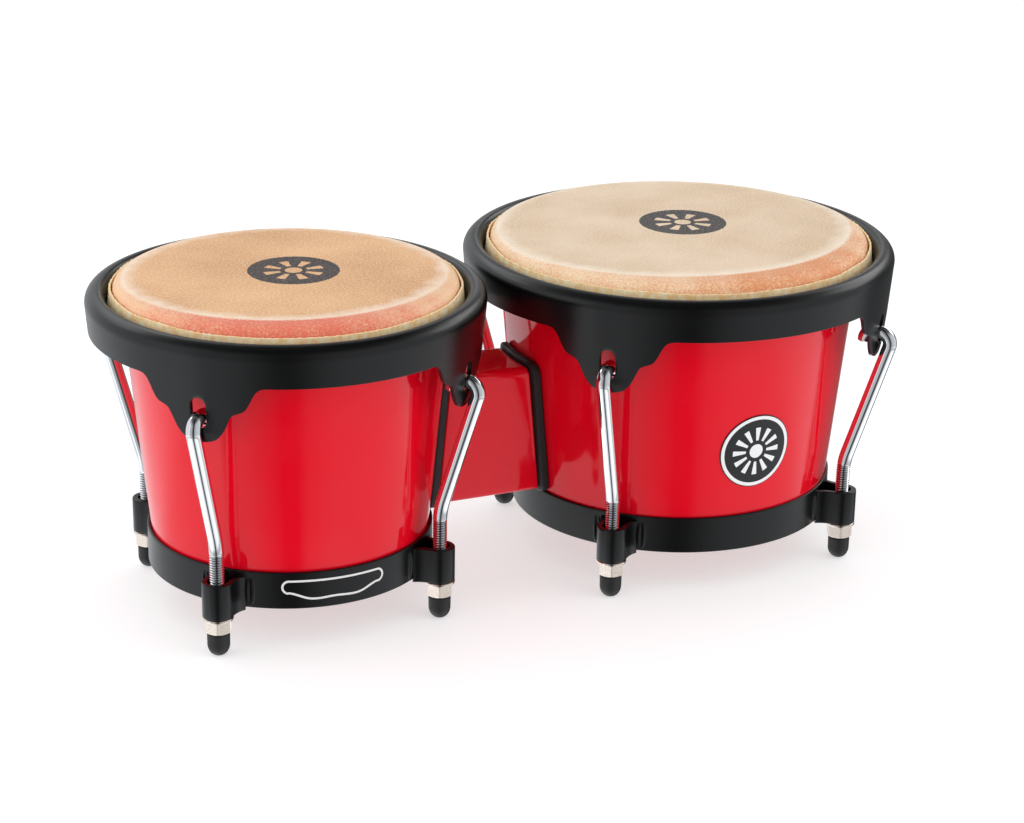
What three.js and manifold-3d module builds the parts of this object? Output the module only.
// A pair of bongo drums, in millimetres, +Z up.
// The origin is on the floor, under the middle of the pair's outline. The small drum is towards -X,
// the large drum towards +X, and the player sits towards +Y, so the badge faces -Y.
//
// Every drum is built about its own axis by the same functions and then moved to its place.
// A section is a closed outline of [radius, height] points that is turned about the drum's axis.

import * as THREE from 'three';
import { mergeVertices } from 'three/addons/utils/BufferGeometryUtils.js';
import Module from 'manifold-3d';

const wasm = await Module();
wasm.setup();

// ---------------------------------------------------------------- driving dimensions

const AXIS_SPACING = 210; // from one drum's axis to the other's
const SIDES = 32; // flat sides of each large round part
const GAP = 0.3; // kept between pieces that would otherwise touch
const FACE_GAP = 0.05; // kept between flat faces that press on each other

// Heights that both drums share.
const HEAD_TOP = 165;
const EDGE_TOP = 163.5; // the shell's bearing edge, under the skin
const SKIN = 1.2; // thickness
const ROLL_TOP = 160; // top of the rim's rolled edge
const ROLL_CENTRE = 154;
const SKIRT_BOTTOM = 140.5;
const EAR_BOTTOM = 112;
const RIM_SHEET = 2.2; // thickness of the rim's skirt
const RIM_TAPER = 0.08; // the skirt draws in by this much for each millimetre down
const WALL = 4; // thickness of the moulded shells

// Bottom ring, bracket, washer, nut and foot, from the ring down to the floor.
const RING_TOP = 40;
const RING_BOTTOM = 21.5;
const RING_LEDGE = 1.3; // the ring's inward ledge, which carries the shell
const RING_GAP = 0.2; // between the band and the shell inside it
const BRACKET_TOP = 37.5;
const WASHER_TOP = 20; // the bracket's lower edge rests on the washer
const NUT_TOP = 18.5;
const FOOT_TOP = 12;
const STRAP = 2.8; // thickness of the bracket's strap
const STRAP_CLEARANCE = 1.1; // between the strap's bend and the rod
const STRAP_SPLAY = 1.6; // each leg opens out by this much towards the ring
const WELD_DEPTH = 1.1; // how far the legs' ends are sunk into the ring

// Tension hooks: 7 mm rod, bent in the radial plane.
const ROD_RADIUS = 3.5;
const ROD_BOTTOM = 2.7;
const KNEE_BEND = 26; // radius of the gentle bend where the rod starts to lean
const HOOK_BEND = 5.5; // radius where the rod turns in to the ear
const RETURN_BEND = 4; // radius where it turns down behind the ear
const HOOK_TOP = 123.8; // centreline height where the hook passes through the ear
const HOOK_TIP = 118.5; // the hidden short end behind the ear
const HOOK_RETURN = 10; // how far inside the rim's outer face that short end hangs
const SLOT_WIDTH = 8;
const SLOT_TOP = 133.7;
const SLOT_BOTTOM = 118.7;
const NUT_RADIUS = 6.75; // to the corners of the hexagon
const NUT_BORE = 3.8; // clear of the rod at every angle of the turning nut
const WASHER_RADIUS = 7.5;
const FOOT_RADIUS = 5.4;
const FOOT_BORE = 3.85;

// Radii that tell the two drums apart.
const SMALL = {
  name: 'small',
  headRadius: 82.4, // a 6.5 inch head
  rimRadius: 95.9,
  shell: [[66.7, 23], [70.3, 60], [75.2, 113], [78.9, 150], [80.6, 161.5]],
  ringRadius: 70,
  rodRadius: 79.7,
  kneeHeight: 56,
  hookReach: 100.8,
};
const LARGE = {
  name: 'large',
  headRadius: 95.25, // a 7.5 inch head
  rimRadius: 109.2,
  shell: [[79.2, 23], [82.7, 60], [87.7, 113], [91.3, 150], [93.3, 161.5]],
  ringRadius: 82.2,
  rodRadius: 92.4,
  kneeHeight: 52,
  hookReach: 114.1,
};

// Centre block between the drums.
const BLOCK_HALF_WIDTH = 18.5;
const BLOCK_BOTTOM = 42;
const BLOCK_TOP = 107.8;
const BLOCK_TOP_ROUND = 4;
const BLOCK_BOTTOM_ROUND = 1.5;
const GASKET = 4.2; // thickness of the rubber between block and shell
const GASKET_PROUD = 2.5; // how far the rubber stands out round the block
const PLATE = 2; // thickness of the steel plate inside each shell
const PLATE_HALF_WIDTH = 13;
const BOLT_HEIGHTS = { lower: 58, upper: 92 };
const BOLT_RADIUS = 4;
const BOLT_HEAD_RADIUS = 7.5; // to the corners of the hexagon
const BOLT_HEAD = 5.3;
const BOLT_IN_BLOCK = 15;

const BADGE_DIAMETER = 38.5;
const BADGE_HEIGHT = 74;
const BADGE_ANGLE = 272;
const BADGE_THICKNESS = 0.6;

// The four stations round a drum, seen from above, as angles from +X.
const STATIONS = { back_right: 45, back_left: 135, front_left: 225, front_right: 315 };

// The pair's outline runs from the small rim to the large one, and the origin is at its middle.
const SMALL_X = SMALL.rimRadius - (SMALL.rimRadius + AXIS_SPACING + LARGE.rimRadius) / 2;
const LARGE_X = SMALL_X + AXIS_SPACING;

// ---------------------------------------------------------------- materials

const finish = (color, roughness, metalness) =>
  new THREE.MeshStandardMaterial({ color, roughness, metalness });

const RED_PLASTIC = finish(0xd80f22, 0.12, 0);
const BLACK_STEEL = finish(0x17181a, 0.38, 0.1);
const CHROME = finish(0xe6e8ea, 0.06, 1);
const NICKEL = finish(0xd8cdbd, 0.2, 1);
const BUFFALO_SKIN = finish(0xdfb98c, 0.55, 0);
const BLACK_RUBBER = finish(0x121212, 0.75, 0);
const ZINC = finish(0xb4b8ba, 0.35, 1);
const BADGE_FOIL = finish(0x16161a, 0.3, 0);

// ---------------------------------------------------------------- solids

// A three.js geometry as a solid that can be cut or joined: shared corners merged, no empty triangles.
function toSolid(geometry) {
  const bare = geometry.clone();
  bare.deleteAttribute('normal');
  bare.deleteAttribute('uv');
  const welded = mergeVertices(bare, 1e-4);
  const corners = welded.index.array;
  const kept = [];
  for (let i = 0; i < corners.length; i += 3) {
    const [a, b, c] = [corners[i], corners[i + 1], corners[i + 2]];
    if (a !== b && b !== c && c !== a) kept.push(a, b, c);
  }
  return new wasm.Manifold(new wasm.Mesh({
    numProp: 3,
    vertProperties: new Float32Array(welded.attributes.position.array),
    triVerts: new Uint32Array(kept),
  }));
}

function toGeometry(solid) {
  const mesh = solid.getMesh();
  const geometry = new THREE.BufferGeometry();
  geometry.setAttribute('position', new THREE.BufferAttribute(mesh.vertProperties, 3));
  geometry.setIndex(new THREE.BufferAttribute(mesh.triVerts, 1));
  geometry.computeVertexNormals();
  return geometry;
}

const cutFrom = (geometry, ...cutters) =>
  toGeometry(cutters.reduce((solid, cutter) => solid.subtract(toSolid(cutter)), toSolid(geometry)));

const common = (a, b) => toGeometry(toSolid(a).intersect(toSolid(b)));

const joined = (...geometries) =>
  toGeometry(geometries.map(toSolid).reduce((solid, next) => solid.add(next)));

// Turns a section about the drum's axis. Points run anticlockwise in the radius-height plane;
// a section that doesn't start on the axis is closed back to its first point.
function turned(section, sides = SIDES) {
  const points = section.map(([radius, height]) => new THREE.Vector2(radius, height));
  if (section[0][0] > 0) points.push(points[0].clone());
  return new THREE.LatheGeometry(points, sides).rotateX(Math.PI / 2);
}

// Points on an arc in the radius-height plane, from one angle to another, in degrees.
function arc(radius, height, size, from, to, steps) {
  return Array.from({ length: steps + 1 }, (_, i) => {
    const angle = THREE.MathUtils.degToRad(from + ((to - from) * i) / steps);
    return [radius + size * Math.cos(angle), height + size * Math.sin(angle)];
  });
}

// Stands a flat shape up at a station: its X runs round the drum, its Y up, and it is pushed
// outward from one radius to another.
function radialPrism(shape, degrees, fromRadius, toRadius, curveSegments = 8) {
  const settings = { depth: toRadius - fromRadius, bevelEnabled: false, curveSegments };
  const prism = new THREE.ExtrudeGeometry(shape, settings);
  const angle = THREE.MathUtils.degToRad(degrees);
  const outward = new THREE.Vector3(Math.cos(angle), Math.sin(angle), 0);
  const along = new THREE.Vector3(-Math.sin(angle), Math.cos(angle), 0);
  const up = new THREE.Vector3(0, 0, 1);
  const stand = new THREE.Matrix4().makeBasis(along, up, outward);
  stand.setPosition(outward.clone().multiplyScalar(fromRadius));
  return prism.applyMatrix4(stand);
}

// A plate or ring: a flat shape in the XY plane, pushed up from one height to another.
function slab(shape, bottom, top, curveSegments = 12) {
  const settings = { depth: top - bottom, bevelEnabled: false, curveSegments };
  return new THREE.ExtrudeGeometry(shape, settings).translate(0, 0, bottom);
}

function polygon(radius, corners) {
  return Array.from({ length: corners }, (_, i) => {
    const angle = (2 * Math.PI * i) / corners;
    return new THREE.Vector2(radius * Math.cos(angle), radius * Math.sin(angle));
  });
}

function ringShape(outer, hole) {
  const shape = new THREE.Shape(outer);
  shape.holes.push(new THREE.Path(hole));
  return shape;
}

// A point at a station, on the circle that the tension rods stand on.
function atStation(drum, degrees) {
  const angle = THREE.MathUtils.degToRad(degrees);
  return [drum.rodRadius * Math.cos(angle), drum.rodRadius * Math.sin(angle)];
}

// The shell's outer radius at a height.
function shellRadius(drum, height) {
  const rows = drum.shell;
  const i = Math.max(1, rows.findIndex(([, z]) => z >= height));
  const [[r0, z0], [r1, z1]] = [rows[i - 1], rows[i]];
  return r0 + ((r1 - r0) * (height - z0)) / (z1 - z0);
}

// ---------------------------------------------------------------- one drum's round parts

// The moulded shell: a tapered tube that flares a little to its rounded bearing edge.
function shell(drum) {
  const outside = drum.shell;
  const edgeRadius = outside.at(-1)[0];
  const inside = outside.map(([radius, height]) => [radius - WALL, height]).reverse();
  return turned([...outside, [edgeRadius - 1.2, EDGE_TOP], [edgeRadius - 2.8, EDGE_TOP], ...inside]);
}

// The steel ring at the shell's foot: a band with an inward ledge, and a welded strap bracket at
// each station. A strap is a U seen from above, with its bend round the tension rod.
function bottomRing(drum) {
  const bandInside = shellRadius(drum, RING_TOP) + RING_GAP;
  const ledgeInside = drum.shell[0][0] - WALL - 1;
  const ledgeTop = RING_BOTTOM + RING_LEDGE;
  const band = turned([
    [ledgeInside, RING_BOTTOM], [drum.ringRadius, RING_BOTTOM], [drum.ringRadius, RING_TOP],
    [bandInside, RING_TOP], [bandInside, ledgeTop], [ledgeInside, ledgeTop],
  ]);
  const straps = Object.values(STATIONS).map((degrees) => strap(drum, degrees));
  return joined(band, ...straps);
}

function strap(drum, degrees) {
  const inner = ROD_RADIUS + STRAP_CLEARANCE;
  const outer = inner + STRAP;
  const root = drum.ringRadius - drum.rodRadius - WELD_DEPTH;
  const shape = new THREE.Shape();
  shape.moveTo(root, -outer - STRAP_SPLAY);
  shape.lineTo(0, -outer);
  shape.absarc(0, 0, outer, -Math.PI / 2, Math.PI / 2, false);
  shape.lineTo(root, outer + STRAP_SPLAY);
  shape.lineTo(root, inner + STRAP_SPLAY);
  shape.lineTo(0, inner);
  shape.absarc(0, 0, inner, Math.PI / 2, -Math.PI / 2, true);
  shape.lineTo(root, -inner - STRAP_SPLAY);
  shape.closePath();
  const [x, y] = atStation(drum, degrees);
  const angle = THREE.MathUtils.degToRad(degrees);
  return slab(shape, WASHER_TOP, BRACKET_TOP, 5).rotateZ(angle).translate(x, y, 0);
}

// The rim: rolled top, skirt, and four ears with a slot for the hook.
function rim(drum) {
  const outside = drum.rimRadius;
  const foot = outside - RIM_TAPER * (ROLL_CENTRE - EAR_BOTTOM);
  const lip = drum.headRadius + 3.6;
  const underside = FLESH_TOP + SKIN + GAP * 2;
  const whole = turned([
    [foot - RIM_SHEET, EAR_BOTTOM], [foot, EAR_BOTTOM], [outside, ROLL_CENTRE],
    ...arc(outside - 6, ROLL_CENTRE, 6, 30, 90, 2),
    [lip + 2, ROLL_TOP - 0.5], [lip, ROLL_TOP - 3], [lip, underside],
    [outside - RIM_SHEET, underside],
  ]);
  const slotFrom = foot - 2 * RIM_SHEET;
  const belowSkirt = slab(new THREE.Shape(polygon(outside + 20, 8)), EAR_BOTTOM - 1, SKIRT_BOTTOM);
  let waste = toSolid(belowSkirt);
  let slots = null;
  for (const degrees of Object.values(STATIONS)) {
    waste = waste.subtract(toSolid(radialPrism(earShape(), degrees, slotFrom, outside + 25, 4)));
    const slot = toSolid(radialPrism(slotShape(), degrees, slotFrom, outside + 6, 5));
    slots = slots ? slots.add(slot) : slot;
  }
  return toGeometry(toSolid(whole).subtract(waste).subtract(slots));
}

// Half an ear runs from the skirt through two hollows to the round lobe, and is mirrored.
function earShape() {
  const top = SKIRT_BOTTOM + 2;
  const shape = new THREE.Shape();
  shape.moveTo(-36, top);
  shape.lineTo(-34, SKIRT_BOTTOM);
  shape.quadraticCurveTo(-27.5, SKIRT_BOTTOM, -24.8, 133.5);
  shape.quadraticCurveTo(-23, 129.3, -19.5, 128.4);
  shape.quadraticCurveTo(-14.6, 127.2, -13.2, 123);
  shape.quadraticCurveTo(-9.5, EAR_BOTTOM, 0, EAR_BOTTOM);
  shape.quadraticCurveTo(9.5, EAR_BOTTOM, 13.2, 123);
  shape.quadraticCurveTo(14.6, 127.2, 19.5, 128.4);
  shape.quadraticCurveTo(23, 129.3, 24.8, 133.5);
  shape.quadraticCurveTo(27.5, SKIRT_BOTTOM, 34, SKIRT_BOTTOM);
  shape.lineTo(36, top);
  shape.closePath();
  return shape;
}

function slotShape() {
  const half = SLOT_WIDTH / 2;
  const shape = new THREE.Shape();
  shape.moveTo(-half, SLOT_BOTTOM + half);
  shape.absarc(0, SLOT_BOTTOM + half, half, Math.PI, 2 * Math.PI, false);
  shape.lineTo(half, SLOT_TOP - half);
  shape.absarc(0, SLOT_TOP - half, half, 0, Math.PI, false);
  shape.closePath();
  return shape;
}

// The flesh hoop is a round steel ring, and the skin wraps round it from the inside, underneath
// and up its outside, then its end is tucked up between the collar and the rim.
const FLESH_RADIUS = 2.8;
const FLESH_CENTRE = 147.5;
const FLESH_TOP = FLESH_CENTRE + FLESH_RADIUS + GAP;
const TUCK_TOP = 161.5;

const fleshReach = (drum) => drum.headRadius + SKIN + 2 * GAP + FLESH_RADIUS;

function fleshHoop(drum) {
  return turned(arc(fleshReach(drum), FLESH_CENTRE, FLESH_RADIUS, 0, 300, 5));
}

function headSkin(drum) {
  const edge = drum.headRadius;
  const reach = fleshReach(drum);
  const wrap = FLESH_RADIUS + GAP;
  const collar = reach - wrap;
  const tuck = collar + 0.4; // a narrow slot separates the tucked end from the collar
  const outer = [
    ...arc(reach, FLESH_CENTRE, wrap + SKIN, 180, 420, 6),
    [tuck + SKIN, FLESH_TOP + SKIN], [tuck + SKIN, TUCK_TOP], [tuck, TUCK_TOP],
  ];
  const inner = [
    [tuck, FLESH_TOP], ...arc(reach, FLESH_CENTRE, wrap, 60, -180, 6),
    [edge, HEAD_TOP - 4.5], [edge - 0.8, HEAD_TOP - 1.4], [edge - 3, HEAD_TOP], [0, HEAD_TOP],
  ];
  const underside = [
    [0, HEAD_TOP - SKIN], [edge - 3.2, HEAD_TOP - SKIN], [edge - 1.6, HEAD_TOP - 2.3],
    [edge - SKIN, HEAD_TOP - 4.5],
  ];
  return turned([...underside, ...outer, ...inner]);
}

// ---------------------------------------------------------------- tension hardware at a station

// The centreline of a bent rod in one radial plane. Corners are rounded to their bend radius, and
// the knots are only as close as the bends need, so the curve is walked knot by knot.
class RodPath extends THREE.Curve {
  constructor(corners, degrees) {
    super();
    const angle = THREE.MathUtils.degToRad(degrees);
    const place = ([radius, height]) =>
      new THREE.Vector3(radius * Math.cos(angle), radius * Math.sin(angle), height);
    this.knots = roundedLine(corners).map(place);
  }

  getPoint(t, target = new THREE.Vector3()) {
    const last = this.knots.length - 1;
    const i = Math.min(last - 1, Math.floor(t * last));
    return target.lerpVectors(this.knots[i], this.knots[i + 1], t * last - i);
  }

  getPointAt(t, target) {
    return this.getPoint(t, target);
  }

  getTangentAt(t, target = new THREE.Vector3()) {
    const step = 0.5 / (this.knots.length - 1);
    const before = this.getPoint(Math.max(0, t - step));
    const after = this.getPoint(Math.min(1, t + step));
    return target.subVectors(after, before).normalize();
  }
}

// Rounds the corners of a line. A corner is [radius, height, bend radius, steps in the bend].
function roundedLine(corners) {
  const points = [];
  corners.forEach(([x, y, bend, steps], i) => {
    const here = new THREE.Vector2(x, y);
    if (!bend) {
      points.push([x, y]);
      return;
    }
    const back = new THREE.Vector2(...corners[i - 1].slice(0, 2)).sub(here).normalize();
    const on = new THREE.Vector2(...corners[i + 1].slice(0, 2)).sub(here).normalize();
    const half = Math.acos(THREE.MathUtils.clamp(back.dot(on), -1, 1)) / 2;
    const middle = back.clone().add(on).normalize().multiplyScalar(bend / Math.sin(half)).add(here);
    const start = here.clone().addScaledVector(back, bend / Math.tan(half)).sub(middle);
    const turn = Math.sign(back.cross(on)) * (Math.PI - 2 * half);
    for (let k = 0; k <= steps; k += 1) {
      const spoke = start.clone().rotateAround(new THREE.Vector2(), (-turn * k) / steps);
      points.push([middle.x + spoke.x, middle.y + spoke.y]);
    }
  });
  return points;
}

// A tension rod: straight and threaded at its foot, leaning out to the rim, then hooked in
// through the ear's slot with a short end behind it.
function hook(drum, degrees) {
  const path = new RodPath([
    [drum.rodRadius, ROD_BOTTOM],
    [drum.rodRadius, drum.kneeHeight, KNEE_BEND, 2],
    [drum.hookReach, HOOK_TOP, HOOK_BEND, 5],
    [drum.rimRadius - HOOK_RETURN, HOOK_TOP, RETURN_BEND, 3],
    [drum.rimRadius - HOOK_RETURN, HOOK_TIP],
  ], degrees);
  const section = new THREE.Shape(polygon(ROD_RADIUS, 6));
  const settings = { steps: path.knots.length - 1, extrudePath: path };
  return new THREE.ExtrudeGeometry(section, settings);
}

function nut() {
  const hexagon = ringShape(polygon(NUT_RADIUS, 6), polygon(NUT_BORE, 10));
  return slab(hexagon, FOOT_TOP, NUT_TOP - FACE_GAP);
}

function washer() {
  const disc = ringShape(polygon(WASHER_RADIUS, 12), polygon(NUT_BORE, 10));
  return slab(disc, NUT_TOP, WASHER_TOP - FACE_GAP);
}

// A rubber foot pushed over the rod's end, with a small flat under its dome.
function foot() {
  const top = FOOT_TOP - GAP;
  const boreEnd = ROD_BOTTOM - GAP;
  return turned([
    [0, 0], [2, 0], [FOOT_RADIUS - 1, 1.7], [FOOT_RADIUS, 4.6], [FOOT_RADIUS, top],
    [FOOT_BORE, top], [FOOT_BORE, boreEnd], [0, boreEnd],
  ], 10);
}

// ---------------------------------------------------------------- centre block and its fixings

const DRUM_X = { small: 0, large: AXIS_SPACING }; // in the block's own frame
const TOWARDS = { small: 1, large: -1 }; // the way from each drum to the block

// A tapered layer that follows the shell's wall, between two distances from its outer face.
function shellLayer(drum, from, to, bottom, top) {
  return turned([
    [shellRadius(drum, bottom) + from, bottom], [shellRadius(drum, bottom) + to, bottom],
    [shellRadius(drum, top) + to, top], [shellRadius(drum, top) + from, top],
  ]).translate(DRUM_X[drum.name], 0, 0);
}

// A solid that fills the shell out to a distance from its outer face.
function shellFill(drum, to, bottom, top) {
  return turned([
    [0, bottom], [shellRadius(drum, bottom) + to, bottom], [shellRadius(drum, top) + to, top],
    [0, top],
  ]).translate(DRUM_X[drum.name], 0, 0);
}

// The block's outline seen along the pair, grown by a margin, as a bar from one drum's axis to the other's.
function blockBar(margin, topRound, bottomRound) {
  const half = BLOCK_HALF_WIDTH + margin;
  const top = BLOCK_TOP + margin;
  const bottom = Math.max(BLOCK_BOTTOM - margin, RING_TOP + GAP); // clear of the ring
  const shape = new THREE.Shape();
  shape.moveTo(-half + bottomRound, bottom);
  shape.lineTo(half - bottomRound, bottom);
  shape.absarc(half - bottomRound, bottom + bottomRound, bottomRound, -Math.PI / 2, 0, false);
  shape.lineTo(half, top - topRound);
  shape.absarc(half - topRound, top - topRound, topRound, 0, Math.PI / 2, false);
  shape.lineTo(-half + topRound, top);
  shape.absarc(-half + topRound, top - topRound, topRound, Math.PI / 2, Math.PI, false);
  shape.lineTo(-half, bottom + bottomRound);
  shape.absarc(-half + bottomRound, bottom + bottomRound, bottomRound, Math.PI, 1.5 * Math.PI, false);
  shape.closePath();
  return radialPrism(shape, 0, 0, AXIS_SPACING, 3);
}

// A round bar along X that reaches from one distance to another from a drum's axis.
function barAlongX(drum, radius, sides, height, from, to) {
  const way = TOWARDS[drum.name];
  const bar = new THREE.CylinderGeometry(radius, radius, to - from, sides).rotateZ(Math.PI / 2);
  return bar.translate(DRUM_X[drum.name] + (way * (from + to)) / 2, 0, height);
}

const boltHoles = (drum, radius, from, to) =>
  Object.values(BOLT_HEIGHTS).map((height) => barAlongX(drum, radius, 10, height, from, to));

const LAYER_BOTTOM = BLOCK_BOTTOM - 6;
const LAYER_TOP = BLOCK_TOP + 4;
const blockEnd = (drum, height) => shellRadius(drum, height) + GASKET + 2 * GAP;

function centreBlock() {
  const ends = [SMALL, LARGE].map((drum) => shellFill(drum, GASKET + 2 * GAP, LAYER_BOTTOM, LAYER_TOP));
  const holes = [SMALL, LARGE].flatMap((drum) => {
    const start = shellRadius(drum, BLOCK_BOTTOM) - 5;
    const depth = blockEnd(drum, BOLT_HEIGHTS.upper) + BOLT_IN_BLOCK + 1;
    return boltHoles(drum, BOLT_RADIUS + GAP, start, depth);
  });
  return cutFrom(blockBar(0, BLOCK_TOP_ROUND, BLOCK_BOTTOM_ROUND), ...ends, ...holes);
}

function gasket(drum) {
  const layer = shellLayer(drum, GAP, GAP + GASKET, LAYER_BOTTOM, LAYER_TOP);
  const halfBar = TOWARDS[drum.name] > 0 ? [-1, AXIS_SPACING / 2] : [AXIS_SPACING / 2, AXIS_SPACING + 1];
  const side = new THREE.BoxGeometry(halfBar[1] - halfBar[0], 100, 200)
    .translate((halfBar[0] + halfBar[1]) / 2, 0, BLOCK_TOP / 2);
  const pad = common(common(layer, blockBar(GASKET_PROUD, 5, 3)), side);
  return cutFrom(pad, ...boltHoles(drum, BOLT_RADIUS + GAP, 40, AXIS_SPACING / 2));
}

function backingPlate(drum) {
  const layer = shellLayer(drum, -WALL - GAP - PLATE, -WALL - GAP, 46, 104);
  const half = PLATE_HALF_WIDTH;
  const way = TOWARDS[drum.name];
  const reach = new THREE.BoxGeometry(60, 2 * half, 120)
    .translate(DRUM_X[drum.name] + way * 70, 0, BLOCK_TOP / 2);
  return cutFrom(common(layer, reach), ...boltHoles(drum, BOLT_RADIUS + GAP, 40, AXIS_SPACING / 2));
}

// The head's face clears the plate, which curves and leans behind it.
function bridgeBolt(drum, height) {
  const plateInside = shellRadius(drum, height - BOLT_HEAD_RADIUS) - WALL - 2 * GAP - PLATE;
  const face = Math.sqrt(plateInside ** 2 - BOLT_HEAD_RADIUS ** 2) - 0.4;
  const end = blockEnd(drum, height) + BOLT_IN_BLOCK;
  const head = barAlongX(drum, BOLT_HEAD_RADIUS, 6, height, face - BOLT_HEAD, face);
  return joined(head, barAlongX(drum, BOLT_RADIUS, 10, height, face - 1, end));
}

// The shell with the holes for the bridge bolts.
function drilledShell(drum) {
  const holes = boltHoles(drum, BOLT_RADIUS + GAP, 40, AXIS_SPACING / 2)
    .map((hole) => hole.translate(-DRUM_X[drum.name], 0, 0));
  return cutFrom(shell(drum), ...holes);
}

// A thin round foil badge that follows the large shell's wall.
function badge() {
  const disc = new THREE.Shape(
    polygon(BADGE_DIAMETER / 2, 24).map((point) => point.add(new THREE.Vector2(0, BADGE_HEIGHT))),
  );
  const prism = radialPrism(disc, BADGE_ANGLE, 60, 110);
  const layer = shellLayer(LARGE, 0.1, 0.1 + BADGE_THICKNESS, 40, 110);
  return common(prism, layer.translate(-DRUM_X.large, 0, 0));
}

// ---------------------------------------------------------------- assembly

function part(name, geometry, material) {
  const mesh = new THREE.Mesh(geometry, material);
  mesh.name = name;
  return mesh;
}

function drumGroup(drum, x) {
  const group = new THREE.Group();
  group.position.x = x;
  group.add(
    part(`${drum.name}_shell`, drilledShell(drum), RED_PLASTIC),
    part(`${drum.name}_bottom_ring`, bottomRing(drum), BLACK_STEEL),
    part(`${drum.name}_rim`, rim(drum), BLACK_STEEL),
    part(`${drum.name}_head_skin`, headSkin(drum), BUFFALO_SKIN),
    part(`${drum.name}_flesh_hoop`, fleshHoop(drum), ZINC),
  );
  for (const [station, degrees] of Object.entries(STATIONS)) {
    group.add(part(`${drum.name}_hook_${station}`, hook(drum, degrees), CHROME));
    const pieces = [
      part(`${drum.name}_nut_${station}`, nut(), NICKEL),
      part(`${drum.name}_washer_${station}`, washer(), NICKEL),
      part(`${drum.name}_foot_${station}`, foot(), BLACK_RUBBER),
    ];
    const [px, py] = atStation(drum, degrees);
    for (const piece of pieces) {
      piece.position.set(px, py, 0);
      group.add(piece);
    }
  }
  return group;
}

function bridgeGroup() {
  const group = new THREE.Group();
  group.position.x = SMALL_X;
  group.add(part('centre_block', centreBlock(), RED_PLASTIC));
  for (const drum of [SMALL, LARGE]) {
    group.add(part(`${drum.name}_gasket`, gasket(drum), BLACK_RUBBER));
    group.add(part(`${drum.name}_backing_plate`, backingPlate(drum), ZINC));
    for (const [place, height] of Object.entries(BOLT_HEIGHTS)) {
      group.add(part(`${drum.name}_bridge_bolt_${place}`, bridgeBolt(drum, height), ZINC));
    }
  }
  return group;
}

const bongos = new THREE.Group();
const largeDrum = drumGroup(LARGE, LARGE_X);
largeDrum.add(part('badge', badge(), BADGE_FOIL));
bongos.add(drumGroup(SMALL, SMALL_X), largeDrum, bridgeGroup());

export default bongos;
